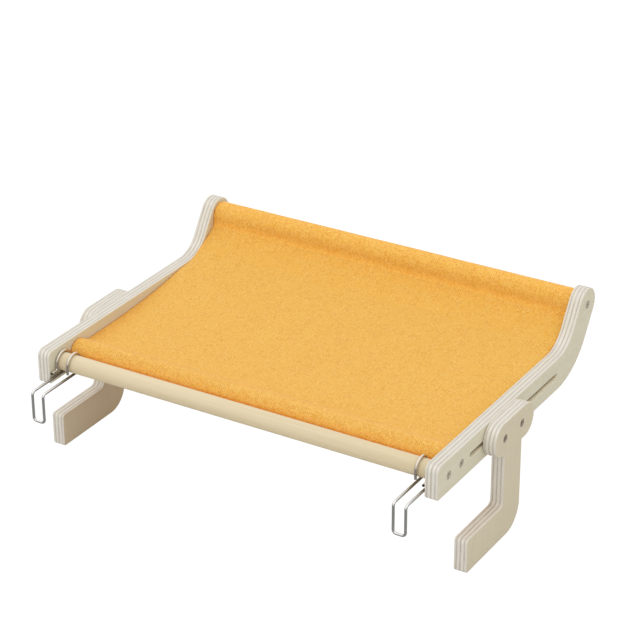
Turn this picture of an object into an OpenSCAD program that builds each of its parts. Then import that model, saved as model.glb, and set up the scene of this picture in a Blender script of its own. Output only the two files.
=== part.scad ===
// Cat hammock that clamps to a window sill or the side of a bed. Two plywood side panels
// carry three round rods, and a woven sling hangs in sleeves on two of them. A bracket slides
// along each panel and grips the sill from below, and two wire hooks swing on the bare front rail.
// The frame: x = 0 midway between the panels, y = 0 at their front ends with +Y to the raised
// back, and z = 0 at their undersides, which lie on the sill.

/* [Side panels] */
// Clear width between the two side panels
inner_w = 460; // [380:1:560]
// Thickness of the plywood
ply_t = 15; // [13:0.5:18]
// Height of the panel's band
band_h = 38; // [34:1:44]
// Straight length of the band before it sweeps up
straight_l = 270; // [250:1:320]
// Radius of the sweep along the middle of the band
sweep_r = 59; // [45:1:80]
// Angle of the raised rear arm
sweep_angle = 57; // [40:1:70]
// Length of the arm from the sweep to the rear rod
arm_l = 32; // [20:1:60]
// Radius of the upper front corner
front_top_r = 8; // [2:0.5:14]
// Radius of the lower front corner
front_bottom_r = 3; // [1:0.5:10]

/* [Slot] */
// Distance from the sling's front rod to the front end of the slot
slot_offset = 17; // [14:0.5:30]
// Length of the slot
slot_l = 200; // [150:1:205]
// Width of the slot
slot_w = 5.5; // [5.5:0.1:7]

/* [Rods] */
// Diameter of the rods
rod_d = 20; // [18:0.5:24]
// Distance from the panels' front ends to the front rail's axis
rail_y = 23; // [18:0.5:35]
// Chamfer on the ends of the rods
rod_chamfer = 0.6; // [0.2:0.1:1.5]

/* [Sling] */
// Thickness of the cloth
cloth_t = 1.2; // [0.8:0.1:2]
// How much wider than its rod a sleeve is, on the radius
sleeve_ease = 2.3; // [1:0.1:4]
// How far the sewn seam stands out from the round of a sleeve
seam_out = 5.3; // [3:0.1:10]
// Angle above level at which the front seam lies from its rod
front_seam_angle = 15; // [0:1:30]
// Angle below level at which the rear seam lies from its rod
rear_seam_angle = 35.5; // [20:0.5:60]
// Gap between the sling's side edge and the panel
sling_side_gap = 0.5; // [0.3:0.1:6]

/* [Brackets] */
// Distance from the panels' front ends to the front of the bracket's leg
leg_y = 115.5; // [105:0.5:180]
// Width of the leg
leg_w = 39; // [34:1:46]
// Room for the sill between the panel and the foot
sill_gap = 61; // [35:1:90]
// Height of the foot
foot_h = 39; // [30:1:50]
// How far the foot reaches in front of the leg
foot_reach = 78; // [50:1:100]
// Length of the bracket's round-ended head
head_l = 87; // [80:1:110]
// How far the head reaches in front of the leg
head_front = 21.5; // [15:0.5:25]
// Radius of the outer corner between leg and foot
heel_r = 28; // [10:1:38]
// Radius of the inner corner between leg and foot
crook_r = 6; // [2:0.5:15]
// Radius of the foot's upper front corner
toe_top_r = 4; // [1:0.5:12]
// Radius of the foot's lower front corner
toe_bottom_r = 3; // [1:0.5:12]
// Distance from the head's front end to the first bolt
bolt_inset = 22; // [18:0.5:26]
// Distance between the two bolts
bolt_pitch = 38; // [28:0.5:45]

/* [Wire hooks] */
// Diameter of the wire
wire_d = 3; // [2:0.1:3.5]
// Distance between the hook's two legs
hook_w = 14; // [12:0.5:25]
// Distance from the rail's axis to the hook's drop
hook_reach = 56.5; // [40:0.5:80]
// Drop of the hook below its legs
hook_drop = 34; // [20:0.5:50]
// Radius of the hook's bends along the middle of the wire
hook_bend_r = 4; // [3:0.5:6]
// Straight end of the loop on the side away from the panel
free_tail_l = 8; // [2:0.5:8]
// Straight end of the loop beside the panel, before it flares forwards
flared_tail_l = 3; // [1:0.5:4]
// Radius of the flare along the middle of the wire
flare_r = 3; // [2.5:0.5:4]
// Length of the flared tip
flare_l = 7; // [3:0.5:9]

/* [Fasteners] */
// Diameter of the screws' and bolts' shanks
screw_d = 5; // [4:0.5:5.4]
// Length of the screws and bolts under the head
screw_l = 25; // [22:0.5:26]
// Diameter of the heads
head_d = 8.5; // [7:0.1:10]
// Height of the heads
head_h = 3.5; // [3:0.1:5]
// Width across flats of the socket in a head
socket_af = 3; // [2.5:0.1:4]
// Depth of the socket
socket_deep = 2; // [1:0.1:2.4]
// Depth of a head below the wood's surface
head_recess = 0.5; // [0.2:0.1:1.5]
// Diameter of the threaded inserts
insert_d = 9; // [8:0.1:11]
// Length of the threaded inserts
insert_l = 13; // [10:0.5:18]
// Width of the square nuts
nut_w = 8; // [7:0.1:9]
// Height of the square nuts
nut_h = 4; // [3:0.1:4.5]

/* [Clearances] */
// Gap between the bracket and the panel, and between the nut and its channel's floor
slide_gap = 0.1; // [0.05:0.05:0.3]
// Gap on each side of a nut in its channel
nut_side_gap = 0.2; // [0.1:0.05:0.5]
// Gap round a screw's head in its counterbore
head_gap = 0.35; // [0.2:0.05:0.8]
// Gap round a screw's shank in a drilled hole
shank_gap = 0.25; // [0.15:0.05:0.5]
// Gap round a screw in an insert or a nut, and round an insert in its rod
thread_gap = 0.05; // [0.03:0.01:0.1]
// Depth left below a screw's tip in a rod
tip_room = 3; // [1:0.5:6]
// Gap between a rod and the far side of its sleeve
sleeve_gap = 0.3; // [0.2:0.05:0.8]
// Gap between the front rail and the hooks' loops
loop_gap = 0.6; // [0.3:0.05:1]
// Gap between the hooks' loops and the sling's front sleeve
loop_to_sleeve = 1.9; // [1:0.1:5]
// Gap between a hook and the panel beside it
hook_side_gap = 0.5; // [0.3:0.1:10]

/* [Hidden] */
$fn = 96;

// How far cuts run past the surfaces they open
overrun = 1;
// Strips along the sling's sheet
sheet_steps = 28;
// Where the sheet's pull turns upwards, as shares of its run and of its rise
sag_run_share = 0.85;
sag_rise_share = 0.095;
// How near to a sleeve's round its flanks pass the sleeve's middle, as a share of its radius
flank_share = 0.97;

// Where the rods stand, as [y, z]
band_mid = band_h / 2;
rod_r = rod_d / 2;
sleeve_r = rod_r + sleeve_ease + cloth_t;
sleeve_pull = sleeve_ease - sleeve_gap;
loop_r = rod_r + loop_gap + wire_d / 2;
rod_pitch = loop_r + wire_d / 2 + loop_to_sleeve + sleeve_r - sleeve_pull;
rail_at = [rail_y, band_mid];
front_rod_at = [rail_y + rod_pitch, band_mid];
sweep_centre = [straight_l, band_mid + sweep_r];
sweep_end = sweep_centre + sweep_r * [sin(sweep_angle), -cos(sweep_angle)];
rear_rod_at = sweep_end + arm_l * [cos(sweep_angle), sin(sweep_angle)];

// Where the panels, brackets and slots stand
panel_in = inner_w / 2;
panel_out = panel_in + ply_t;
bracket_in = panel_out + slide_gap;
bracket_out = bracket_in + ply_t;
slot_y = front_rod_at[0] + slot_offset;
channel_w = nut_w + 2 * nut_side_gap;
channel_deep = nut_h + 2 * slide_gap + head_recess;
head_y = leg_y - head_front;
bolts_at = [for (i = [0, 1]) [head_y + bolt_inset + i * bolt_pitch, band_mid]];
foot_top = -sill_gap;
foot_bottom = foot_top - foot_h;
seat_deep = head_h + head_recess;

// Colours of the materials
plywood = "#ded7c6";
dowel_wood = "#e2d3ac";
cloth = "#f0b85c";
steel = "#c4c6c8";
dark_steel = "#55534f";
brass = "#c9a95a";

// Draws a y-z outline as a solid of width w along x
module along_x(w) {
    rotate([90, 0, 90]) linear_extrude(w) children();
}

// A bar along x from x to x + l, with its axis at [y, z]
module bar(x, l, d, at) {
    translate([x, at[0], at[1]]) rotate([0, 90, 0]) cylinder(d = d, h = l);
}

// What rounding takes off a corner at the origin that has its body towards +x and +y
module corner_waste(r) {
    difference() {
        translate([-overrun, -overrun]) square(r + overrun);
        translate([r, r]) circle(r);
    }
}

// A round-ended slot of overall length l and width w, starting at the origin along x
module slot_outline(l, w) {
    translate([w / 2, -w / 2]) square([l - w, w]);
    for (x = [w / 2, l - w / 2]) translate([x, 0]) circle(d = w);
}

// The band of the side panel: straight run, sweep, arm and round end
module panel_outline() {
    outer_r = sweep_r + band_mid;
    inner_r = sweep_r - band_mid;
    across = band_mid * [sin(sweep_angle), -cos(sweep_angle)];
    outer_corner = [straight_l + outer_r * tan(sweep_angle / 2), 0];
    inner_corner = [straight_l + inner_r * tan(sweep_angle / 2), band_h];
    past_r = outer_r + overrun;
    difference() {
        union() {
            polygon([[0, 0], outer_corner, rear_rod_at + across,
                rear_rod_at - across, inner_corner, [0, band_h]]);
            translate(rear_rod_at) circle(band_mid);
            difference() {
                polygon([sweep_centre, [straight_l, band_mid], sweep_end]);
                translate(sweep_centre) circle(inner_r);
            }
        }
        translate(sweep_centre) difference() {
            polygon([[0, 0], [0, -past_r],
                past_r / cos(sweep_angle / 2) * [sin(sweep_angle / 2), -cos(sweep_angle / 2)],
                past_r * [sin(sweep_angle), -cos(sweep_angle)]]);
            circle(outer_r);
        }
        corner_waste(front_bottom_r);
        translate([0, band_h]) mirror([0, 1]) corner_waste(front_top_r);
    }
}

// Counterbored hole for a screw that comes in from the face at x
module screw_hole(x, at) {
    bar(x - ply_t - overrun, ply_t + 2 * overrun, screw_d + 2 * shank_gap, at);
    bar(x - seat_deep, seat_deep + overrun, head_d + 2 * head_gap, at);
}

// The right-hand panel; the nut channel runs past the slot so that square nuts clear its round ends
module side_panel() {
    channel_past = (channel_w - slot_w) / 2 + nut_w / 2;
    color(plywood) difference() {
        translate([panel_in, 0, 0]) along_x(ply_t) panel_outline();
        for (at = [rail_at, front_rod_at, rear_rod_at]) screw_hole(panel_out, at);
        translate([panel_in - overrun, slot_y, band_mid])
            along_x(ply_t + 2 * overrun) slot_outline(slot_l, slot_w);
        translate([panel_in - overrun, slot_y - channel_past, band_mid])
            along_x(channel_deep + overrun) slot_outline(slot_l + 2 * channel_past, channel_w);
    }
}
module side_panel_right() side_panel();
module side_panel_left() mirror([1, 0, 0]) side_panel();

// A rod between the panels, drilled at both ends for its inserts and screw tips
module rod(at) {
    insert_hole_d = insert_d + 2 * thread_gap;
    tip_deep = screw_l - (ply_t - seat_deep) + tip_room;
    color(dowel_wood) translate([0, at[0], at[1]]) rotate([0, 90, 0]) difference() {
        rotate_extrude() polygon([[0, -panel_in], [rod_r - rod_chamfer, -panel_in],
            [rod_r, rod_chamfer - panel_in], [rod_r, panel_in - rod_chamfer],
            [rod_r - rod_chamfer, panel_in], [0, panel_in]]);
        for (side = [0, 1]) mirror([0, 0, side]) {
            translate([0, 0, panel_in - insert_l]) cylinder(d = insert_hole_d, h = insert_l + overrun);
            translate([0, 0, panel_in - tip_deep])
                cylinder(d = screw_d + 2 * shank_gap, h = tip_deep + overrun);
        }
    }
}

// The pair of threaded inserts flush in the ends of a rod
module inserts(at) {
    color(brass) for (side = [0, 1]) mirror([side, 0, 0]) difference() {
        bar(panel_in - insert_l, insert_l, insert_d, at);
        bar(panel_in - insert_l - overrun, insert_l + 2 * overrun, screw_d + 2 * thread_gap, at);
    }
}

// A socket head screw whose head is sunk below the face at x
module screw(x, at) {
    top = x - head_recess;
    difference() {
        union() {
            bar(top - head_h, head_h, head_d, at);
            bar(top - head_h - screw_l, screw_l, screw_d, at);
        }
        translate([top - socket_deep, at[0], at[1]]) rotate([0, 90, 0])
            cylinder(d = socket_af / cos(30), h = socket_deep + overrun, $fn = 6);
    }
}

// The pair of screws that hold a rod between the panels
module rod_screws(at) {
    color(dark_steel) for (side = [0, 1]) mirror([side, 0, 0]) screw(panel_out, at);
}

module front_rail() rod(rail_at);
module front_rail_inserts() inserts(rail_at);
module front_rail_screws() rod_screws(rail_at);
module sling_front_rod() rod(front_rod_at);
module sling_front_rod_inserts() inserts(front_rod_at);
module sling_front_rod_screws() rod_screws(front_rod_at);
module sling_rear_rod() rod(rear_rod_at);
module sling_rear_rod_inserts() inserts(rear_rod_at);
module sling_rear_rod_screws() rod_screws(rear_rod_at);

// Where a sleeve's seam lies from the sleeve's middle, and the seams' directions from their rods
seam_reach = sleeve_r + seam_out;
front_pull = [cos(front_seam_angle), sin(front_seam_angle)];
rear_pull = -[cos(rear_seam_angle), sin(rear_seam_angle)];
front_sleeve_at = front_rod_at + sleeve_pull * front_pull;
rear_sleeve_at = rear_rod_at + sleeve_pull * rear_pull;

// The sheet's middle line, a curve from seam to seam that hangs low and turns up at the back
seam_mid = seam_reach * (1 - cloth_t / sleeve_r / 2);
sheet_start = front_sleeve_at + seam_mid * front_pull;
sheet_end = rear_sleeve_at + seam_mid * rear_pull;
sheet_turn = [sheet_start[0] + sag_run_share * (sheet_end[0] - sheet_start[0]),
    sheet_start[1] + sag_rise_share * (sheet_end[1] - sheet_start[1])];
function sheet_point(t) =
    (1 - t) * (1 - t) * sheet_start + 2 * t * (1 - t) * sheet_turn + t * t * sheet_end;
function sheet_slope(t) = (1 - t) * (sheet_turn - sheet_start) + t * (sheet_end - sheet_turn);
function sheet_side(t, off) = let (s = sheet_slope(t)) sheet_point(t) + off * [-s[1], s[0]] / norm(s);

// A drop shape of round r about the origin, whose tip lies at distance tip along the angle
module drop_outline(r, tip, angle) {
    foot_r = flank_share * r;
    flank = acos(foot_r / tip);
    circle(r);
    rotate(angle) polygon([foot_r * [cos(flank), sin(flank)], [0, 0],
        foot_r * [cos(flank), -sin(flank)], [tip, 0]]);
}

// A sleeve's cloth, drawn out to its seam
module sleeve_outline(at, angle) {
    inner_r = sleeve_r - cloth_t;
    translate(at) difference() {
        drop_outline(sleeve_r, seam_reach, angle);
        drop_outline(inner_r, seam_reach * inner_r / sleeve_r, angle);
    }
}

// The sling: one taut sheet with a sewn sleeve at each end
module sling() {
    w = inner_w - 2 * sling_side_gap;
    steps = [for (i = [0 : sheet_steps]) i / sheet_steps];
    color(cloth) translate([-w / 2, 0, 0]) {
        along_x(w) sleeve_outline(front_sleeve_at, front_seam_angle);
        along_x(w) sleeve_outline(rear_sleeve_at, rear_seam_angle + 180);
        along_x(w) polygon([for (t = steps) sheet_side(t, cloth_t / 2),
            for (i = [sheet_steps : -1 : 0]) sheet_side(steps[i], -cloth_t / 2)]);
    }
}

// The bracket's outline: round-ended head, leg, and a foot that reaches forwards under the sill
module bracket_outline() {
    toe_y = leg_y - foot_reach;
    heel_y = leg_y + leg_w;
    translate([head_y, band_mid]) slot_outline(head_l, band_h);
    difference() {
        translate([leg_y, foot_bottom]) square([leg_w, band_mid - foot_bottom]);
        translate([heel_y, foot_bottom]) mirror([1, 0]) corner_waste(heel_r);
    }
    difference() {
        translate([toe_y, foot_bottom]) square([foot_reach + leg_w - heel_r, foot_h]);
        translate([toe_y, foot_bottom]) corner_waste(toe_bottom_r);
        translate([toe_y, foot_top]) mirror([0, 1]) corner_waste(toe_top_r);
    }
    translate([leg_y - crook_r, foot_top]) difference() {
        square(crook_r);
        translate([0, crook_r]) circle(crook_r);
    }
}

// The right-hand bracket with its counterbored bolt holes
module bracket() {
    color(plywood) difference() {
        translate([bracket_in, 0, 0]) along_x(ply_t) bracket_outline();
        for (at = bolts_at) screw_hole(bracket_out, at);
    }
}

// The two bolts of the right-hand bracket, which pass through the panel's slot
module bracket_bolts() {
    color(dark_steel) for (at = bolts_at) screw(bracket_out, at);
}

// The two square nuts of the right-hand bracket, which ride in the panel's channel
module bracket_nuts() {
    nut_x = panel_in + channel_deep - slide_gap - nut_h;
    color(steel) for (at = bolts_at) difference() {
        translate([nut_x, at[0] - nut_w / 2, at[1] - nut_w / 2]) cube([nut_h, nut_w, nut_w]);
        bar(nut_x - overrun, nut_h + 2 * overrun, screw_d + 2 * thread_gap, at);
    }
}

module bracket_right() bracket();
module bracket_bolts_right() bracket_bolts();
module bracket_nuts_right() bracket_nuts();
module bracket_left() mirror([1, 0, 0]) bracket();
module bracket_bolts_left() mirror([1, 0, 0]) bracket_bolts();
module bracket_nuts_left() mirror([1, 0, 0]) bracket_nuts();

// A straight run of wire along z from the origin
module wire_run(l) cylinder(d = wire_d, h = l);

// A bend of wire about the z axis, from the +x direction through the angle
module wire_bend(r, angle) {
    rotate_extrude(angle = angle) translate([r, 0]) circle(d = wire_d);
}

// A loop that opens round the rail, with its straight end, in the plane at x = 0 about the rail;
// it starts under the rail, goes up the back and over the top, and ends going down the front
module wire_loop(tail_l) {
    rotate([90, 0, 90]) rotate(-90) wire_bend(loop_r, 270);
    translate([0, -loop_r, -tail_l]) wire_run(tail_l);
}

// The flared tip of the loop beside the panel, which bends forwards from the end of its tail
module wire_flare() {
    translate([0, -loop_r - flare_r, -flared_tail_l]) rotate([90, 0, 90]) rotate(-90) {
        wire_bend(flare_r, 90);
        translate([flare_r, 0, 0]) rotate([90, 0, 0]) wire_run(flare_l);
    }
}

// The right-hand hook, one bent wire: loop, leg, drop, foot, drop, leg and loop
module wire_hook() {
    beside_panel = panel_in - hook_side_gap - wire_d / 2;
    leg_run = hook_reach - hook_bend_r;
    drop_run = hook_drop - 2 * hook_bend_r;
    color(steel) translate([beside_panel, rail_at[0], rail_at[1]]) {
        wire_loop(flared_tail_l);
        wire_flare();
        translate([-hook_w, 0, 0]) wire_loop(free_tail_l);
        for (x = [0, -hook_w]) translate([x, 0, -loop_r]) {
            rotate([90, 0, 0]) wire_run(leg_run);
            translate([0, -leg_run, -hook_bend_r]) rotate([90, 0, 90]) rotate(90) wire_bend(hook_bend_r, 90);
            translate([0, -hook_reach, -hook_bend_r - drop_run]) wire_run(drop_run);
        }
        translate([0, -hook_reach, -loop_r - hook_bend_r - drop_run]) {
            translate([-hook_bend_r, 0, 0]) rotate([90, 0, 0]) rotate(-90) wire_bend(hook_bend_r, 90);
            translate([hook_bend_r - hook_w, 0, 0]) rotate([90, 0, 0]) rotate(180) wire_bend(hook_bend_r, 90);
            translate([hook_bend_r - hook_w, 0, -hook_bend_r]) rotate([0, 90, 0])
                wire_run(hook_w - 2 * hook_bend_r);
        }
    }
}
module wire_hook_right() wire_hook();
module wire_hook_left() mirror([1, 0, 0]) wire_hook();

side_panel_left();
side_panel_right();
front_rail();
front_rail_inserts();
front_rail_screws();
sling_front_rod();
sling_front_rod_inserts();
sling_front_rod_screws();
sling_rear_rod();
sling_rear_rod_inserts();
sling_rear_rod_screws();
sling();
bracket_left();
bracket_bolts_left();
bracket_nuts_left();
bracket_right();
bracket_bolts_right();
bracket_nuts_right();
wire_hook_left();
wire_hook_right();
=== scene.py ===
import math

import bmesh
import bpy
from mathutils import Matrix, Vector, noise


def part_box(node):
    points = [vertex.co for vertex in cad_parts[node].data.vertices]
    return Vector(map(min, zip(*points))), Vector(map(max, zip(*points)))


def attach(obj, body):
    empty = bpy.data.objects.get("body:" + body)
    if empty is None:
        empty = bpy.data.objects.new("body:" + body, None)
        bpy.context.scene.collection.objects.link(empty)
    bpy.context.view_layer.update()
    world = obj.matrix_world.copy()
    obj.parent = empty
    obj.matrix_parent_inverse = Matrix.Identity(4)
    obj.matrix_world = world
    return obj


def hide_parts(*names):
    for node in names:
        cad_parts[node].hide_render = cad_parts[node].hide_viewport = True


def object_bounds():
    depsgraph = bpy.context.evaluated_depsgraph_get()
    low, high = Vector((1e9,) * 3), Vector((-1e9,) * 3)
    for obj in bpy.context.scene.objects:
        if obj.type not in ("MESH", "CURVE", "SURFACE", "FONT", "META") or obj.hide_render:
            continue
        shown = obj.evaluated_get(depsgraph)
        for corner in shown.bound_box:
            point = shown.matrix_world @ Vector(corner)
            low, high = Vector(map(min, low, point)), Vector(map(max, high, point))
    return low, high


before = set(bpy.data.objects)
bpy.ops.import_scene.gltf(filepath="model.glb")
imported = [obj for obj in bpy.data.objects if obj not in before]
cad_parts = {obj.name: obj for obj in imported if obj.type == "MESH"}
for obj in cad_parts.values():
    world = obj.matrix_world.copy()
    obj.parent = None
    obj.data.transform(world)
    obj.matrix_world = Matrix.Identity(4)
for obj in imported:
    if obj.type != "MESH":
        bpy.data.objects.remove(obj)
cad_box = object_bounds()
bpy.ops.object.select_all(action="DESELECT")


# Side panels
# Two boards of birch plywood, cut to a band that sweeps up at the back, with a long slot and
# counterbored screw holes. The sanded edges show the plies and everything has a thin clear coat.
class Tone:
    """A shader socket. Arithmetic on it adds Math nodes, and node() adds any other node to its tree."""

    def __init__(self, tree, socket=None):
        self.tree, self.socket = tree, socket

    def node(self, kind, settings=None, inputs=None, out=0):
        """One output of a new node, whose settings are made before its sockets' values and links."""
        made = self.tree.nodes.new(kind)
        for name, value in (settings or {}).items():
            if name == "stops":
                ramp = made.color_ramp.elements
                while len(ramp) < len(value):
                    ramp.new(1.0)
                for element, (place, shade) in zip(ramp, value):
                    element.position, element.color = place, shade
            else:
                setattr(made, name, value)
        for name, value in (inputs or {}).items():
            if isinstance(value, Tone):
                self.tree.links.new(value.socket, made.inputs[name])
            else:
                made.inputs[name].default_value = value
        return Tone(self.tree, made.outputs[out])

    def math(self, operation, *values):
        """A Math node on these values."""
        return self.node("ShaderNodeMath", {"operation": operation}, dict(enumerate(values)))

    def __add__(self, other):
        return self.math("ADD", self, other)

    def __sub__(self, other):
        return self.math("SUBTRACT", self, other)

    def __mul__(self, other):
        return self.math("MULTIPLY", self, other)

    def __truediv__(self, other):
        return self.math("DIVIDE", self, other)

    def __rsub__(self, other):
        return self.math("SUBTRACT", other, self)

    def __abs__(self):
        return self.math("ABSOLUTE", self)

    __radd__, __rmul__ = __add__, __mul__

    def between(self, low, high):
        """From 0 at low to 1 at high, smooth and held outside them."""
        return self.node(
            "ShaderNodeMapRange", {"interpolation_type": "SMOOTHSTEP"}, {0: self, 1: low, 2: high}
        )

    def mixed(self, first, second):
        """The first colour where this is 0 and the second where it is 1."""
        return self.node("ShaderNodeMix", {"data_type": "RGBA"}, {0: self, 6: first, 7: second}, out=2)

    def shaded(self, shades):
        """Greys along this value, from pairs of a place and the grey there."""
        stops = [(place, (grey, grey, grey, 1)) for place, grey in shades]
        return self.node("ShaderNodeValToRGB", {"stops": stops}, {"Fac": self})

    def axes(self):
        """This vector's x, y and z."""
        apart = self.node("ShaderNodeSeparateXYZ", None, {0: self}).socket.node
        return [Tone(self.tree, output) for output in apart.outputs]

    def stretched(self, scales):
        """This vector times a scale for each axis."""
        return self.node("ShaderNodeVectorMath", {"operation": "MULTIPLY"}, {0: self, 1: scales})

    def grain(self, scale=1.0, detail=3.0, roughness=0.5):
        """Noise about 0.5 on this vector."""
        return self.node(
            "ShaderNodeTexNoise", None,
            {"Vector": self, "Scale": scale, "Detail": detail, "Roughness": roughness},
        )


def finish(name, fixed):
    """A new material: its shader with the fixed values set on its own sockets, and a Tone to build on."""
    material = bpy.data.materials.new(name)
    material.use_nodes = True
    shader = material.node_tree.nodes["Principled BSDF"]
    for socket, value in fixed.items():
        shader.inputs[socket].default_value = value
    return material, shader, Tone(material.node_tree)


def coat(shader, varied):
    """Links each varied value to the shader's socket of that name."""
    for socket, value in varied.items():
        value.tree.links.new(value.socket, shader.inputs[socket])


def raised(height, strength, distance):
    """The normal that a height between 0 and 1 gives to a surface, with its full depth in metres."""
    return height.node(
        "ShaderNodeBump", None, {"Strength": strength, "Distance": distance, "Height": height}
    )


def colour(red, green, blue):
    """A colour from its display values of 0 to 255, as a shader reads it."""
    shares = [value / 255 for value in (red, green, blue)]
    return tuple(s / 12.92 if s <= 0.04045 else ((s + 0.055) / 1.055) ** 2.4 for s in shares) + (1.0,)


def make_active(piece):
    """Selects one piece alone for the operators."""
    bpy.ops.object.select_all(action="DESELECT")
    piece.select_set(True)
    bpy.context.view_layer.objects.active = piece


def apply_modifier(piece, kind, **settings):
    """Gives a piece a modifier and applies it."""
    make_active(piece)
    modifier = piece.modifiers.new(kind.lower(), kind)
    for name, value in settings.items():
        setattr(modifier, name, value)
    bpy.ops.object.modifier_apply(modifier=modifier.name)


# How near points are merged, and the bends in degrees that are joined flat, eased and shaded smooth.
MERGE_WITHIN, FLAT_UNDER, EASED_OVER, SMOOTH_UNDER = 1e-6, 0.6, 40, 38
FACE_WEIGHT = 80


def merged_copy(node, name):
    """A new piece with the node's own shape, its loose triangles merged and its flat faces joined."""
    piece = bpy.data.objects.new(name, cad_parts[node].data.copy())
    bpy.context.scene.collection.objects.link(piece)
    piece.data.materials.clear()
    make_active(piece)
    bpy.ops.object.mode_set(mode="EDIT")
    bpy.ops.mesh.select_all(action="SELECT")
    bpy.ops.mesh.customdata_custom_splitnormals_clear()
    bpy.ops.mesh.remove_doubles(threshold=MERGE_WITHIN)
    bpy.ops.mesh.dissolve_limited(angle_limit=math.radians(FLAT_UNDER))
    bpy.ops.object.mode_set(mode="OBJECT")
    return piece


def ease_edges(piece, width, wanted, segments=2):
    """Rounds the sharp outward edges whose middle passes the test."""
    make_active(piece)
    bpy.ops.object.mode_set(mode="EDIT")
    bpy.ops.mesh.select_mode(type="EDGE")
    bpy.ops.mesh.select_all(action="DESELECT")
    mesh = bmesh.from_edit_mesh(piece.data)
    for edge in mesh.edges:
        sharp = edge.is_convex and edge.calc_face_angle(0) > math.radians(EASED_OVER)
        edge.select_set(sharp and wanted((edge.verts[0].co + edge.verts[1].co) / 2))
    bmesh.update_edit_mesh(piece.data)
    bpy.ops.mesh.bevel(
        offset=width, segments=segments, affect="EDGES", clamp_overlap=False, loop_slide=False
    )
    bpy.ops.object.mode_set(mode="OBJECT")


def smooth_rounds(piece):
    """Smooth shading over the rounds, with the flat faces kept flat."""
    make_active(piece)
    bpy.ops.object.shade_smooth_by_angle(angle=math.radians(SMOOTH_UNDER))
    apply_modifier(piece, "WEIGHTED_NORMAL", keep_sharp=True, weight=FACE_WEIGHT)


def middle_of(node):
    """The middle of a CAD node's box."""
    low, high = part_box(node)
    return (low + high) / 2


PLY_EASE, HOLE_EASE, HOLE_RIM = 0.0010, 0.0003, 0.0075


def clear_of(place, holes):
    """Whether a place is off the rims of holes along x, which are given by their y and z."""
    return all(math.hypot(place.y - y, place.z - z) > HOLE_RIM for y, z in holes)


def cut_from_ply(node, name, on_outline):
    """The node's shape with its outline sanded round and the rims of its holes just broken."""
    board = merged_copy(node, name)
    ease_edges(board, PLY_EASE, on_outline, segments=3)
    ease_edges(board, HOLE_EASE, lambda place: not on_outline(place))
    smooth_rounds(board)
    return board


# The plies through a sheet: a share of its thickness from the inner face, and how dark it is there.
PLY_SHADES = (
    (0.00, 0.15), (0.115, 0.1), (0.15, 0.9), (0.23, 0.85), (0.265, 0.05),
    (0.41, 0.05), (0.445, 0.95), (0.525, 0.9), (0.56, 0.05),
    (0.71, 0.05), (0.745, 0.9), (0.825, 0.85), (0.86, 0.05), (0.91, 0.1), (0.97, 0.35),
)
PLY_WAVER, WAVER_SCALE = 0.08, 38
# Painted shade on upward tops and along a head's inner edge; the slot's wall has painted light and shade.
TOP_SHADE_ABOVE, TOP_SHADE_SHARE = (0.028, 0.034), 0.29
CONTACT_SHADOW_DEPTH, CONTACT_SHADOW_RISE, CONTACT_SHADOW_BEFORE, CONTACT_SHADOW_SHARE = (0.02, 0.08), 0.002, (0.098, 0.106), 0.65
SLOT_HALF, SLOT_REACH = 0.0034, (0.0665, 0.2675)
SLOT_SHADE_DEPTH, SLOT_SHADE_SHARE = (0.66, 0.86), 0.88
slot_height = middle_of("bracket_bolts_right").z
panel_low, panel_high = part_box("side_panel_right")
panel_inner, ply_thick = panel_low.x, panel_high.x - panel_low.x


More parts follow.
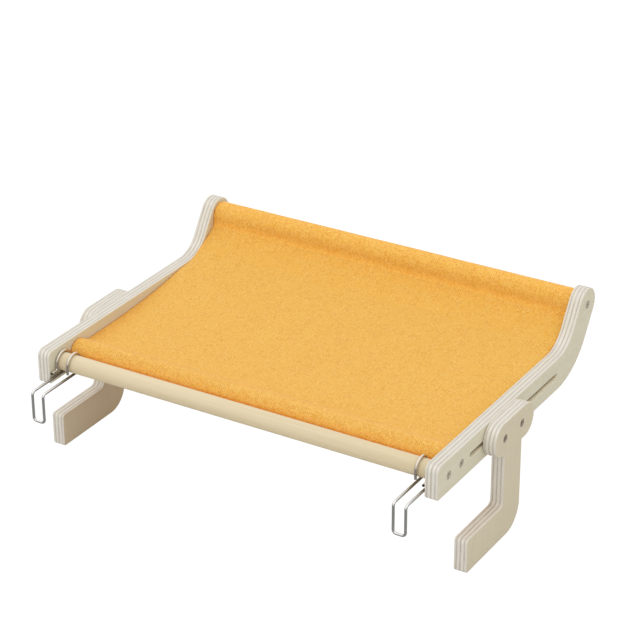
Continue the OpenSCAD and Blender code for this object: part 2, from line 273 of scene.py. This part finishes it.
def plywood(name, inner, veneer, grain_scales, slot_reach=None, contact_shadow_above=None):
    """Birch plywood whose sheet lies from x = inner outwards, with the face grain along one axis."""
    painted_lit_slot_wall, painted_shade_colour, top_shade_colour = colour(236, 226, 196), colour(112, 92, 66), colour(181, 175, 165)
    ply_pale, ply_deep, pore = colour(234, 229, 217), colour(184, 175, 159), colour(172, 158, 134)
    material, shader, tone = finish(name, {"Coat Weight": 0.12, "Coat Roughness": 0.35})
    places = tone.node("ShaderNodeTexCoord", out="Object")
    across, length, height = places.axes()
    facing_x, _, facing_z = tone.node("ShaderNodeTexCoord", out="Normal").axes()
    on_face = abs(facing_x).between(0.80, 0.97)
    depth = (abs(across) - inner) / ply_thick
    waver = places.stretched((WAVER_SCALE, WAVER_SCALE, WAVER_SCALE)).grain(detail=3.0) - 0.5
    plies = (depth + waver * PLY_WAVER).shaded(PLY_SHADES)
    flecks = places.stretched((2600, 420, 420)).grain(detail=2.0).between(0.42, 0.78)
    specks = places.stretched((1500, 800, 800)).grain(detail=2.0, roughness=0.6).between(0.36, 0.70)
    fading = 0.15 + places.stretched((300, 60, 60)).grain(detail=3.0) * 1.6
    edge_colour = (plies * fading * (0.72 + flecks * 0.28)).mixed(ply_pale, ply_deep)
    edge_colour = (flecks * plies * 0.30 + specks * 0.16).mixed(edge_colour, pore)
    streaks = places.stretched(grain_scales).grain(detail=4.0, roughness=0.6)
    clouds = places.grain(scale=14.0, detail=2.0)
    face_colour = (streaks.between(0.30, 0.72) * 0.75 + clouds * 0.25).mixed(*veneer)
    fine = places.stretched([s * 5 for s in grain_scales]).grain(detail=2.0)
    face_colour = (fine.between(0.58, 0.80) * 0.10).mixed(face_colour, pore)
    # Painted shade: upward-facing tops above a height are darkened.
    painted_top_shade = facing_z.between(0.80, 0.98) * height.between(*TOP_SHADE_ABOVE)
    edge_colour = (painted_top_shade * TOP_SHADE_SHARE).mixed(edge_colour, top_shade_colour)
    # Painted contact shadow along the inner edge where a bracket's head meets the panel.
    if contact_shadow_above is not None:
        painted_contact_shadow = height.between(contact_shadow_above, contact_shadow_above + CONTACT_SHADOW_RISE)
        painted_contact_shadow = (1 - depth.between(*CONTACT_SHADOW_DEPTH)) * painted_contact_shadow * (1 - length.between(*CONTACT_SHADOW_BEFORE))
        edge_colour = (painted_contact_shadow * CONTACT_SHADOW_SHARE).mixed(edge_colour, painted_shade_colour)
    # Painted light on the slot's wall, with painted shade over its deeper part.
    if slot_reach:
        start, end = slot_reach
        in_slot = length.math("COMPARE", length, (start + end) / 2, (end - start) / 2)
        in_slot = in_slot * height.math("COMPARE", height, slot_height, SLOT_HALF)
        edge_colour = in_slot.mixed(edge_colour, painted_lit_slot_wall)
        inside = in_slot * (1 - depth.between(*SLOT_SHADE_DEPTH))
        edge_colour = (inside * SLOT_SHADE_SHARE).mixed(edge_colour, painted_shade_colour)
    coat(shader, {
        "Base Color": on_face.mixed(edge_colour, face_colour),
        "Roughness": 0.48 + streaks * 0.14,
        "Normal": raised(fine * on_face + plies * (1 - on_face) * 0.6, strength=0.35, distance=0.00012),
    })
    return material


PANEL_GRAIN = (150, 7, 150)
ABOUT_SLOT_Y, ABOUT_SLOT_Z = (0.055, 0.285), (0.010, 0.028)
panel_veneer = colour(219, 212, 187), colour(213, 205, 179)
panel_holes = [middle_of(rod).yz for rod in ("front_rail", "sling_front_rod", "sling_rear_rod")]


def on_panel_outline(place):
    """Whether an edge is on the panel's outline, and not on its slot, nut channel or screw holes."""
    by_slot = ABOUT_SLOT_Y[0] < place.y < ABOUT_SLOT_Y[1] and ABOUT_SLOT_Z[0] < place.z < ABOUT_SLOT_Z[1]
    return not by_slot and clear_of(place, panel_holes)


for side in ("left", "right"):
    panel = cut_from_ply(f"side_panel_{side}", f"plywood_side_panel_{side}", on_panel_outline)
    panel_finish = plywood(f"panel_plywood_{side}", panel_inner, panel_veneer, PANEL_GRAIN, SLOT_REACH)
    panel.data.materials.append(panel_finish)
    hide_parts(f"side_panel_{side}")
    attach(panel, "frame")


# Rods
# Three turned hardwood rods between the panels: the bare front rail and the two inside the sling's
# sleeves. Their ends are chamfered and drilled for brass inserts, which the panels' screws run into.
ROD_CHAMFER, ROD_SIDES = 0.0006, 96
# The radius and the depth of each step of a bore, from the end inwards.
BORES = ((0.00455, 0.013), (0.00275, 0.004))
RIM_BEYOND, END_FACING = 0.009, 0.9
rail_low, rail_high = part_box("front_rail")
rod_length, rod_radius = rail_high.x - rail_low.x, (rail_high.z - rail_low.z) / 2


def drilled_rod(name):
    """A rod along x about the origin, with a stepped bore in each end."""
    bpy.ops.object.select_all(action="DESELECT")
    bpy.ops.mesh.primitive_cylinder_add(
        vertices=ROD_SIDES, radius=rod_radius, depth=rod_length, rotation=(0, math.pi / 2, 0)
    )
    rod = bpy.context.object
    rod.name = rod.data.name = name
    bpy.ops.object.transform_apply(location=True, rotation=True, scale=True)
    for end in (-1, 1):
        bpy.ops.object.mode_set(mode="EDIT")
        bpy.ops.mesh.select_mode(type="FACE")
        bpy.ops.mesh.select_all(action="DESELECT")
        mesh = bmesh.from_edit_mesh(rod.data)
        for face in mesh.faces:
            face.select_set(face.normal.x * end > END_FACING)
        bmesh.update_edit_mesh(rod.data)
        reached = rod_radius
        for radius, deep in BORES:
            bpy.ops.mesh.inset(thickness=reached - radius)
            bpy.ops.mesh.extrude_region_move(TRANSFORM_OT_translate={"value": (-end * deep, 0, 0)})
            reached = radius
        bpy.ops.object.mode_set(mode="OBJECT")
    ease_edges(rod, ROD_CHAMFER, lambda place: math.hypot(place.y, place.z) > RIM_BEYOND)
    smooth_rounds(rod)
    return rod


def turned_wood():
    """Pale hardwood with long grain along x."""
    wood_pale, wood_deep, vessel = colour(225, 209, 175), colour(214, 196, 158), colour(192, 168, 126)
    material, shader, tone = finish("rod_hardwood", {
        "Coat Weight": 0.06, "Coat Roughness": 0.4, "Specular IOR Level": 0.3,
    })
    places = tone.node("ShaderNodeTexCoord", out="Object")
    rings = places.stretched((3.2, 150, 150)).grain(detail=4.0, roughness=0.6)
    vessels = places.stretched((26, 1500, 1500)).grain(detail=2.0).between(0.60, 0.76)
    clouds = places.stretched((9, 25, 25)).grain(detail=2.0)
    base = (rings.between(0.28, 0.74) * 0.8 + clouds * 0.2).mixed(wood_pale, wood_deep)
    coat(shader, {
        "Base Color": (vessels * 0.30).mixed(base, vessel),
        "Roughness": 0.55 + rings * 0.14,
        "Normal": raised(rings * 0.5 + vessels * -0.5, strength=0.4, distance=0.00012),
    })
    return material


rod_finish = turned_wood()
for node, name in (
    ("front_rail", "turned_front_rail"),
    ("sling_front_rod", "turned_sling_front_rod"),
    ("sling_rear_rod", "turned_sling_rear_rod"),
):
    rod = drilled_rod(name)
    rod.location = middle_of(node)
    make_active(rod)
    bpy.ops.object.transform_apply(location=True, rotation=True, scale=True)
    rod.data.materials.append(rod_finish)
    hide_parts(node)
    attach(rod, "frame")


# Inserts
# Brass sleeves pressed into the ends of the rods, out of sight once the panels are on. They keep
# their own shape and get a turned finish with fine rings.
def refinish(node, material):
    """A new finish for a CAD node that keeps its own shape."""
    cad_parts[node].data.materials.clear()
    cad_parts[node].data.materials.append(material)


brass, brass_shader, brass_tone = finish("turned_brass", {"Metallic": 1.0})
brass_places = brass_tone.node("ShaderNodeTexCoord", out="Object")
brass_rings = brass_places.stretched((5200, 300, 300)).grain(detail=1.0)
coat(brass_shader, {
    "Base Color": brass_rings.mixed(colour(214, 178, 104), colour(192, 152, 80)),
    "Roughness": 0.24 + brass_rings * 0.2,
})
for node in ("front_rail_inserts", "sling_front_rod_inserts", "sling_rear_rod_inserts"):
    refinish(node, brass)


# Screws
# Dark socket head screws, sunk just below the panels' faces. They run through the plywood into the
# inserts and pull the panels against the rods.
HEAD_EASE, HEAD_RIM = 0.0003, 0.0015


def dark_oxide(name, deep, pale):
    """Dark steel with brighter rubs of wear."""
    material, shader, tone = finish(name, {"Metallic": 0.6})
    places = tone.node("ShaderNodeTexCoord", out="Object")
    rubs = places.grain(scale=900.0, detail=3.0, roughness=0.6)
    coat(shader, {
        "Base Color": rubs.between(0.35, 0.75).mixed(deep, pale),
        "Roughness": 0.38 + rubs * 0.2,
        "Normal": raised(rubs, strength=0.25, distance=0.00005),
    })
    return material


def finished_screws(node, name, body, oxide):
    """The node's screws with their heads' rims eased, on the given body and with the given finish."""
    screws = merged_copy(node, name)
    # A node on the left alone has no head at its high end, so all its sharp edges are eased.
    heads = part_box(node)[1].x - HEAD_RIM
    ease_edges(screws, HEAD_EASE, lambda place: abs(place.x) > heads or heads < 0)
    smooth_rounds(screws)
    screws.data.materials.append(oxide)
    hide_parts(node)
    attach(screws, body)


# The screws' oxide is painted paler than the bolts' to offset the shade in their counterbores.
screw_finish = dark_oxide("dark_oxide_screws", colour(204, 191, 171), colour(228, 217, 199))
for rod_name in ("front_rail", "sling_front_rod", "sling_rear_rod"):
    finished_screws(f"{rod_name}_screws", f"socket_screws_{rod_name}", "frame", screw_finish)


# Sling
# One length of coarse orange canvas, turned round the two sling rods and sewn to itself in a sleeve
# at each end. It is drawn taut, its sides have a rolled hem, and it puckers along its seams.
CLOTH_THICK = 0.0012
FLAP_LENGTH, FLAP_UNDER = 0.009, 0.00135
SLEEVE_STEPS, SHEET_STEPS, FLAP_STEPS = 60, 90, 4
# Each sleeve's line of pull, its radius, its shift along the pull and the distance to its seam.
FRONT_SLEEVE = math.radians(15), 0.0134, 0.0015, 0.0185
REAR_SLEEVE = math.radians(210), 0.0139, 0.0002, 0.0162
# Where the sheet's two ends would meet if they ran on straight, as shares of the way to the rear seam.
TURN_ALONG, TURN_UP = 0.85, 0.03


def turned(angle, length):
    """A step of a length in the plane of the panels, at an angle up from straight back."""
    return Vector((math.cos(angle), math.sin(angle))) * length


def sleeve(node, pull, radius, shift, reach):
    """A sleeve round a rod, drawn out to a seam: the seam's place and the line round the sleeve."""
    middle = middle_of(node).yz + turned(pull, shift)
    flank = math.acos(radius / reach)
    start, end = pull - flank, pull + flank - 2 * math.pi
    angles = [start + (end - start) * i / SLEEVE_STEPS for i in range(SLEEVE_STEPS + 1)]
    return middle + turned(pull, reach), [middle + turned(angle, radius) for angle in angles]


front_seam, front_sleeve = sleeve("sling_front_rod", *FRONT_SLEEVE)
rear_seam, rear_sleeve = sleeve("sling_rear_rod", *REAR_SLEEVE)
span = rear_seam - front_seam
sheet_turn = front_seam + Vector((span.x * TURN_ALONG, span.y * TURN_UP))


def sheet_curve(share):
    """A point on the sheet between the seams, and the direction up from it."""
    rest = 1 - share
    point = front_seam * rest * rest + sheet_turn * 2 * share * rest + rear_seam * share * share
    along = ((sheet_turn - front_seam) * rest + (rear_seam - sheet_turn) * share).normalized()
    return point, Vector((-along.y, along.x))


def flap_points(shares):
    """The sewn-down end of the cloth, under the sheet."""
    points = [sheet_curve(share) for share in shares]
    return [point - up * FLAP_UNDER for point, up in points]


flap_share = FLAP_LENGTH / span.length
flap_shares = [flap_share * (1 - i / FLAP_STEPS) for i in range(FLAP_STEPS + 1)]
route = flap_points(flap_shares) + front_sleeve
sheet_from = len(route)
route += [sheet_curve(i / SHEET_STEPS)[0] for i in range(SHEET_STEPS + 1)]
sheet_to = len(route) - 1
route += rear_sleeve + flap_points([1 - share for share in reversed(flap_shares)])


def even_points(points, count):
    """The same line as count + 1 evenly spaced points, and how far along it each old point was."""
    steps = [0.0]
    for before, after in zip(points, points[1:]):
        steps.append(steps[-1] + (after - before).length)
    made, at = [], 0
    for i in range(count + 1):
        reach = steps[-1] * i / count
        while at < len(points) - 2 and steps[at + 1] < reach:
            at += 1
        share = (reach - steps[at]) / max(steps[at + 1] - steps[at], 1e-9)
        made.append(points[at].lerp(points[at + 1], min(max(share, 0), 1)))
    return made, steps


SLING_HALF, SLING_COLUMNS, SLING_ROWS = 0.2296, 150, 176
FINE_STEPS, FRONT_SOFTENING, REAR_SOFTENING = 920, 70, 12
fine_route, route_steps = even_points(route, FINE_STEPS)
front_seam_at = route_steps[sheet_from] / route_steps[-1]
rear_seam_at = route_steps[sheet_to] / route_steps[-1]
front_fold_at = route_steps[min(range(sheet_from), key=lambda i: route[i].x)] / route_steps[-1]
half_way = FINE_STEPS // 2
for start, end, passes in ((0, half_way, FRONT_SOFTENING), (half_way, FINE_STEPS, REAR_SOFTENING)):
    for _ in range(passes):
        around = fine_route[start:end + 1]
        fine_route[start + 1:end] = [
            a * 0.25 + b * 0.5 + c * 0.25 for a, b, c in zip(around, around[1:], around[2:])
        ]
cloth_route, cloth_steps = even_points(fine_route, SLING_ROWS)
cloth_length = cloth_steps[-1]


def cloth_up(row):
    """The direction out of the cloth's top side at a row of its route."""
    before, after = cloth_route[max(row - 1, 0)], cloth_route[min(row + 1, SLING_ROWS)]
    along = (after - before).normalized()
    return Vector((-along.y, along.x))


def near_seam(share, reach):
    """1 at either seam, falling away over the reach."""
    distances = [(share - seam_at) * cloth_length for seam_at in (front_seam_at, rear_seam_at)]
    return sum(math.exp(-((distance / reach) ** 2)) for distance in distances)


# Wrinkles: their width across the cloth, a layer of their own, their number along it and their height.
COARSE_PUCKER, FINE_PUCKER = (0.030, 3.7, 9, 0.00045), (0.012, 5.2, 9, 0.00030)
SLEEVE_SLACK, SHEET_RIPPLE = (0.055, 8.1, 14, 0.00022), (0.045, 1.3, 2.2, 0.00035)
PUCKER_REACH = 0.010


def wrinkle(x, share, width, layer, number, height):
    """The height of one kind of wrinkle at a place on the cloth."""
    return noise.noise(Vector((x / width, layer, share * number))) * height


def cloth_lift(x, share):
    """How far puckers by the seams, slack in the sleeves and faint ripples lift the cloth."""
    pucker = wrinkle(x, share, *COARSE_PUCKER) + wrinkle(x, share, *FINE_PUCKER)
    in_sleeve = share < front_seam_at or share > rear_seam_at
    loose = wrinkle(x, share, *(SLEEVE_SLACK if in_sleeve else SHEET_RIPPLE))
    return pucker * near_seam(share, PUCKER_REACH) + loose


# The hem's roll fades by the seams. The sides droop, most where the panels sweep up: by how much,
# how far back and over what length.
HEM_WIDTH, HEM_THICK, HEM_RISE, HEM_FADE = 0.007, 0.0020, 0.002, 0.012
HEM_DROOP, DROOP_WIDTH = 0.0009, 0.022
LEFT_SWEEP, RIGHT_SWEEP = (0.0034, 0.274, 0.018), (0.0049, 0.283, 0.026)
NECK = 0.0002
CLOTH_SMOOTH_UNDER = 50

bpy.ops.object.select_all(action="DESELECT")
bpy.ops.mesh.primitive_grid_add(x_subdivisions=SLING_COLUMNS, y_subdivisions=SLING_ROWS, size=2)
sling = bpy.context.object
sling.name = sling.data.name = "canvas_sling"
rows = [round((vertex.co.y + 1) / 2 * SLING_ROWS) for vertex in sling.data.vertices]
for vertex, row in zip(sling.data.vertices, rows):
    share = row / SLING_ROWS
    on_sheet = min(max((share - front_seam_at) / (rear_seam_at - front_seam_at), 0), 1)
    x = vertex.co.x * (SLING_HALF - NECK * math.sin(math.pi * on_sheet))
    droop = HEM_DROOP * math.sin(math.pi * on_sheet)
    if 0 < on_sheet < 1:
        deep, middle, reach = RIGHT_SWEEP if x > 0 else LEFT_SWEEP
        droop += deep * math.exp(-(((cloth_route[row].x - middle) / reach) ** 2))
    droop *= max(1 - (SLING_HALF - abs(x)) / DROOP_WIDTH, 0) ** 2
    point = cloth_route[row] + cloth_up(row) * (cloth_lift(x, share) - droop)
    vertex.co = (x, point.x, point.y)
apply_modifier(sling, "SOLIDIFY", thickness=CLOTH_THICK, offset=0.0, use_even_offset=True)
for vertex, row in zip(list(sling.data.vertices)[len(rows):], rows):
    share = row / SLING_ROWS
    on_sheet = 1.0 if front_seam_at < share < rear_seam_at else 0.0
    rolled = min(max((abs(vertex.co.x) - SLING_HALF + HEM_WIDTH) / HEM_RISE, 0), 1) * on_sheet
    down = cloth_up(row) * -HEM_THICK * rolled * (1 - near_seam(share, HEM_FADE))
    vertex.co += Vector((0, down.x, down.y))
make_active(sling)
bpy.ops.object.shade_smooth_by_angle(angle=math.radians(CLOTH_SMOOTH_UNDER))

THREAD_PITCH = 0.0014


def canvas():
    """Plain weave on the sling's own map: slubby threads each way, over and under."""
    thread_bright, thread_pale = colour(250, 214, 132), colour(244, 197, 101)
    thread_mid, thread_deep = colour(234, 176, 73), colour(223, 145, 38)
    thread_dark = colour(206, 118, 22)
    material, shader, tone = finish("orange_canvas", {
        "Sheen Weight": 0.08, "Sheen Roughness": 0.5, "Specular IOR Level": 0.2, "Roughness": 0.9,
    })
    flat_map = tone.node("ShaderNodeUVMap")
    width, share, _ = flat_map.axes()
    threads = flat_map.stretched((2 * SLING_HALF / THREAD_PITCH, cloth_length / THREAD_PITCH, 1))
    across, along, _ = threads.axes()
    over = threads.node("ShaderNodeTexChecker", None, {"Vector": threads, "Scale": 1.0}, out="Fac")

    def thread_round(count):
        """A thread's rounded height, from 0 at its sides to 1 along its middle."""
        return abs(count.math("SINE", count * math.pi))

    def slubs(first, second, seed):
        """Each thread's own tone, which changes every few crossings along it."""
        spot = first.node(
            "ShaderNodeCombineXYZ", None,
            {0: first.math("FLOOR", first) * 3.7, 1: second * 0.2, 2: seed},
        )
        return spot.grain(detail=2.0, roughness=0.6)

    def rising(place, low, high):
        """From 0 to 1 between two shares of the cloth's length that are given from a place on it."""
        return share.between(place + low, place + high)

    slub = over * slubs(across, along, 1.5) + (1 - over) * slubs(along, across, 7.5)
    weave = over * thread_round(across) + (1 - over) * thread_round(along)
    base = (slub.between(0.32, 0.66) * 0.5 + 0.20).mixed(thread_mid, thread_pale)
    base = ((1 - slub).between(0.56, 0.72) * 0.32).mixed(base, thread_deep)
    base = ((1 - weave.between(0.05, 0.55)) * 0.40).mixed(base, thread_deep)
    on_front = 1 - rising(front_seam_at, -0.02, 0.02)
    on_rear = rising(rear_seam_at, -0.05, 0.01)
    sewn = on_front + on_rear
    in_metres = flat_map.stretched((2 * SLING_HALF, cloth_length, 1))
    patches = in_metres.grain(scale=75.0, detail=3.0, roughness=0.6).between(0.38, 0.62)
    crossing = threads.node("ShaderNodeVectorMath", {"operation": "FLOOR"}, {0: threads})
    chance = threads.node("ShaderNodeTexWhiteNoise", {"noise_dimensions": "2D"}, {"Vector": crossing})
    flecked = (0.10 + patches * 0.32) * (1 - sewn) + sewn * (0.32 + patches * 0.16)
    flecked = chance.between(0.30, 0.75) * flecked
    for side, thread in ((over, thread_bright), (1 - over, thread_dark)):
        base = (side * flecked).mixed(base, thread)
    # Painted light on the sleeves, belly, slope and crease; painted shade by the rail, panels and left
    # side.
    painted_light_on_belly = 1 - rising(front_fold_at, 0.006, 0.030)
    painted_shade_by_rail = 1 - rising(front_fold_at, 0.001, 0.009)
    painted_light_by_crease = rising(rear_seam_at, -0.013, -0.003) * (1 - rising(rear_seam_at, 0.004, 0.016))
    painted_light_on_slope = rising(rear_seam_at, -0.125, -0.07) * (1 - rising(rear_seam_at, -0.03, -0.008))
    painted_shade_by_panel = abs(width - 0.5).between(0.5 - 0.0020, 0.5 - 0.0008)
    painted_shade_by_left = (1 - width.between(0.004, 0.065)) * rising(front_seam_at, -0.01, 0.02)
    painted_shade_by_left = painted_shade_by_left * (1 - rising(front_seam_at, 0.14, 0.38))
    for place, tint in (
        (on_front, (1.03, 1.01, 1.01)),
        (on_rear, (1.10, 1.06, 0.99)),
        (painted_light_on_belly, (1.14, 1.07, 1.03)),
        (painted_light_by_crease, (1.07, 1.06, 1.00)),
        (painted_shade_by_rail, (0.99, 0.68, 0.35)),
        (painted_shade_by_panel, (0.94, 0.60, 0.32)),
        (painted_light_on_slope, (1.03, 1.012, 0.96)),
        (painted_shade_by_left, (0.985, 0.90, 0.76)),
    ):
        base = base.node(
            "ShaderNodeMix", {"data_type": "RGBA", "blend_type": "MULTIPLY"},
            {0: place, 6: base, 7: (*tint, 1)}, out=2,
        )
    coat(shader, {
        "Base Color": base,
        "Normal": raised(weave * (0.6 + slub * 0.8), strength=0.6, distance=0.00045),
    })
    return material


sling.data.materials.append(canvas())

STITCH_LENGTH, STITCH_PITCH, STITCH_THICK = 0.0034, 0.0045, 0.0007
STITCH_FROM_SEAM, STITCH_MARGIN = 0.0040, 0.004
# How far below the first row its copy is made, to tell the two apart until they are placed.
UNDER_APART = 1.0
stitch_thread, thread_shader, thread_tone = finish("stitch_thread", {
    "Specular IOR Level": 0.3, "Roughness": 0.7,
})
thread_places = thread_tone.node("ShaderNodeTexCoord", out="Object")
thread_twist = thread_places.stretched((2600, 900, 900)).grain(detail=1.0)
coat(thread_shader, {
    "Base Color": thread_twist.mixed(colour(244, 192, 94), colour(234, 176, 73)),
    "Normal": raised(thread_twist, strength=0.4, distance=0.0001),
})


def stitch_row(name, inward, seam_at):
    """Matching thread through the sheet and the flap beside a seam, seen on both sides of the cloth."""
    bpy.ops.object.select_all(action="DESELECT")
    bpy.ops.mesh.primitive_uv_sphere_add(
        segments=8, ring_count=5, radius=0.5, rotation=(0, math.pi / 2, 0)
    )
    stitches = bpy.context.object
    stitches.name = stitches.data.name = name
    stitches.scale = (STITCH_THICK, STITCH_THICK, STITCH_LENGTH)
    bpy.ops.object.transform_apply(location=True, rotation=True, scale=True)
    count = int((2 * SLING_HALF - 2 * STITCH_MARGIN) / STITCH_PITCH)
    for copies, step in ((count, (STITCH_PITCH, 0, 0)), (2, (0, 0, -UNDER_APART))):
        apply_modifier(
            stitches, "ARRAY", count=copies, use_relative_offset=False, use_constant_offset=True,
            constant_offset_displace=step,
        )
    first = -STITCH_PITCH * (count - 1) / 2
    share = seam_at + inward * STITCH_FROM_SEAM / cloth_length
    row = round(share * SLING_ROWS)
    up = cloth_up(row)
    along = Vector((up.y, -up.x))
    for vertex in stitches.data.vertices:
        under = vertex.co.z < -UNDER_APART / 2
        x = first + vertex.co.x
        height = vertex.co.z + (UNDER_APART - FLAP_UNDER - CLOTH_THICK / 2 if under else CLOTH_THICK / 2)
        point = cloth_route[row] + along * vertex.co.y + up * (height + cloth_lift(x, row / SLING_ROWS))
        vertex.co = (x, point.x, point.y)
    make_active(stitches)
    bpy.ops.object.shade_smooth()
    stitches.data.materials.append(stitch_thread)
    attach(stitches, "frame")
    return stitches


seam_stitches = [
    stitch_row("seam_stitches_front", 1, front_seam_at),
    stitch_row("seam_stitches_rear", -1, rear_seam_at),
]

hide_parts("sling")
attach(sling, "frame")


# Brackets
# Two C-shaped pieces of the same plywood, each with a round-ended head on the panel's outer face and
# a foot that reaches under the sill. Two bolts through the panel's slot clamp each one.
# The brackets get the painted contact shadow along their heads' inner edges from this height up.
BRACKET_GRAIN, BRACKET_CONTACT_SHADOW_ABOVE = (150, 150, 7), 0.0
bracket_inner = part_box("bracket_right")[0].x
bolts_low, bolts_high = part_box("bracket_bolts_right")
head_radius = (bolts_high.z - bolts_low.z) / 2
bracket_holes = [(y, slot_height) for y in (bolts_low.y + head_radius, bolts_high.y - head_radius)]
bracket_veneer = colour(214, 203, 175), colour(211, 199, 171)
bolt_finish = dark_oxide("dark_oxide_bolts", colour(166, 153, 134), colour(198, 186, 167))


def on_bracket_outline(place):
    """Whether an edge is on the bracket's outline, and not on its bolt holes."""
    return clear_of(place, bracket_holes)


for side in ("left", "right"):
    bracket = cut_from_ply(f"bracket_{side}", f"plywood_bracket_{side}", on_bracket_outline)
    bracket_finish = plywood(
        f"bracket_plywood_{side}", bracket_inner, bracket_veneer, BRACKET_GRAIN,
        contact_shadow_above=BRACKET_CONTACT_SHADOW_ABOVE,
    )
    bracket.data.materials.append(bracket_finish)
    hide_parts(f"bracket_{side}")
    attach(bracket, f"sill_bracket_{side}")
    finished_screws(f"bracket_bolts_{side}", f"socket_bolts_{side}", f"sill_bracket_{side}", bolt_finish)


# Nuts
# Square zinc-plated nuts in the channels on the panels' inner faces, behind the sling's edge. They
# slide along with the brackets' bolts and keep their own shape.
zinc, zinc_shader, zinc_tone = finish("zinc_plate", {"Metallic": 1.0})
zinc_places = zinc_tone.node("ShaderNodeTexCoord", out="Object")
zinc_clouds = zinc_places.grain(scale=700.0, detail=3.0, roughness=0.6)
coat(zinc_shader, {
    "Base Color": zinc_clouds.mixed(colour(196, 198, 200), colour(168, 171, 175)),
    "Roughness": 0.28 + zinc_clouds * 0.22,
})
for side in ("left", "right"):
    refinish(f"bracket_nuts_{side}", zinc)


# Wire hooks
# Two bright plated steel wires, each bent into a long U with a drop at its end. Both ends curl round
# the front rail, so the hook swings on it. Painted dark reflections near the rail, painted wood
# reflections on the loops; the flared tips are darker.
HOOK_EASE, HOOK_SMOOTH_UNDER = 0.0003, 40
FLARE_TIP, FLARE_ABOVE = (0.0011, 0.0025), (0.0100, 0.0105)
NEAR_RAIL, LOOPS_ABOVE = (-0.045, 0.025), (0.0080, 0.0100)
LOOP_DARK_REFLECTION, LEG_DARK_REFLECTION, LOOP_WOOD_REFLECTION = 0.20, 0.65, 0.45
wire_bright, wire_grey, wire_dark_reflection = colour(246, 244, 242), colour(224, 222, 220), colour(106, 97, 80)
wire_wood_reflection, wire_tip_dark = colour(222, 206, 183), colour(96, 90, 84)
wire, wire_shader, wire_tone = finish("bright_wire", {"Metallic": 1.0})
wire_places = wire_tone.node("ShaderNodeTexCoord", out="Object")
wire_marks = wire_places.grain(scale=420.0, detail=4.0, roughness=0.65)
_, wire_y, wire_z = wire_places.axes()
on_loops = wire_z.between(*LOOPS_ABOVE)
# The tips of the flares are darker.
on_flare_tip = (1 - wire_y.between(*FLARE_TIP)) * wire_z.between(*FLARE_ABOVE)
# Painted dark reflections near the rail, strongest on the legs, and a painted wood reflection on the
# loops.
painted_dark_reflection = wire_y.between(*NEAR_RAIL) * (LOOP_DARK_REFLECTION + LEG_DARK_REFLECTION * (1 - on_loops))
wire_colour = painted_dark_reflection.mixed(wire_marks.mixed(wire_bright, wire_grey), wire_dark_reflection)
wire_colour = (on_loops * LOOP_WOOD_REFLECTION).mixed(wire_colour, wire_wood_reflection)
coat(wire_shader, {
    "Base Color": on_flare_tip.mixed(wire_colour, wire_tip_dark),
    "Roughness": 0.10 + wire_marks * 0.14,
    "Normal": raised(wire_marks, strength=0.12, distance=0.00004),
})
for side in ("left", "right"):
    hook = merged_copy(f"wire_hook_{side}", f"bent_wire_hook_{side}")
    ease_edges(hook, HOOK_EASE, lambda place: True)
    make_active(hook)
    bpy.ops.object.shade_smooth_by_angle(angle=math.radians(HOOK_SMOOTH_UNDER))
    hook.data.materials.append(wire)
    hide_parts(f"wire_hook_{side}")
    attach(hook, f"window_hook_{side}")


# Studio
# A seamless white floor under the feet and a wide soft dome of light that is brightest overhead.
# The camera stands in front, to the right and above, with a long lens.
SKY_SHADES, SKY_STRENGTH = ((0.0, 0.52), (0.75, 1.0)), 1.25
FLOOR_SPAN, FLOOR_GREY, FLOOR_ROUGHNESS = 80.0, 0.78, 0.9
FLOOR_GLOWS = (("Is Glossy Ray", 0.28), ("Is Camera Ray", 1.05))
CAMERA_PLACE = (1.1494, -1.7146, 1.1798)
CAMERA_ELEVATION, CAMERA_AZIMUTH, CAMERA_ROLL = 26.826, 31.209, -0.210
CAMERA_SENSOR, CAMERA_LENS = 36, 129.21

bpy.context.scene.view_settings.view_transform = "Standard"
sky = bpy.data.worlds.new("studio_sky")
bpy.context.scene.world = sky
sky.use_nodes = True
sky_shader = sky.node_tree.nodes["Background"]
sky_shader.inputs["Strength"].default_value = SKY_STRENGTH
_, _, sky_height = Tone(sky.node_tree).node("ShaderNodeTexCoord", out="Generated").axes()
coat(sky_shader, {"Color": sky_height.shaded(SKY_SHADES)})

bpy.ops.object.select_all(action="DESELECT")
bpy.ops.mesh.primitive_plane_add(size=FLOOR_SPAN, location=(0, 0, cad_box[0].z))
floor = bpy.context.object
floor.name = "studio_floor"
floor_white, floor_shader, floor_tone = finish("floor_white", {
    "Base Color": (FLOOR_GREY, FLOOR_GREY, FLOOR_GREY, 1), "Roughness": FLOOR_ROUGHNESS,
})
floor_seen = Tone(floor_white.node_tree, floor_shader.outputs[0])
for ray, strength in FLOOR_GLOWS:
    seen_by = floor_tone.node("ShaderNodeLightPath", out=ray)
    glow = floor_tone.node("ShaderNodeEmission", None, {"Strength": strength})
    floor_seen = floor_tone.node("ShaderNodeMixShader", None, {"Fac": seen_by, 1: floor_seen, 2: glow})
coat(floor_white.node_tree.nodes["Material Output"], {"Surface": floor_seen})
floor.data.materials.append(floor_white)

bpy.ops.object.camera_add(
    location=CAMERA_PLACE,
    rotation=(math.radians(90 - CAMERA_ELEVATION), 0, math.radians(CAMERA_AZIMUTH)),
)
camera = bpy.context.object
camera.name = "camera"
camera.rotation_euler.rotate_axis("Z", math.radians(CAMERA_ROLL))
camera.data.sensor_width = CAMERA_SENSOR
camera.data.lens = CAMERA_LENS
bpy.context.scene.camera = camera
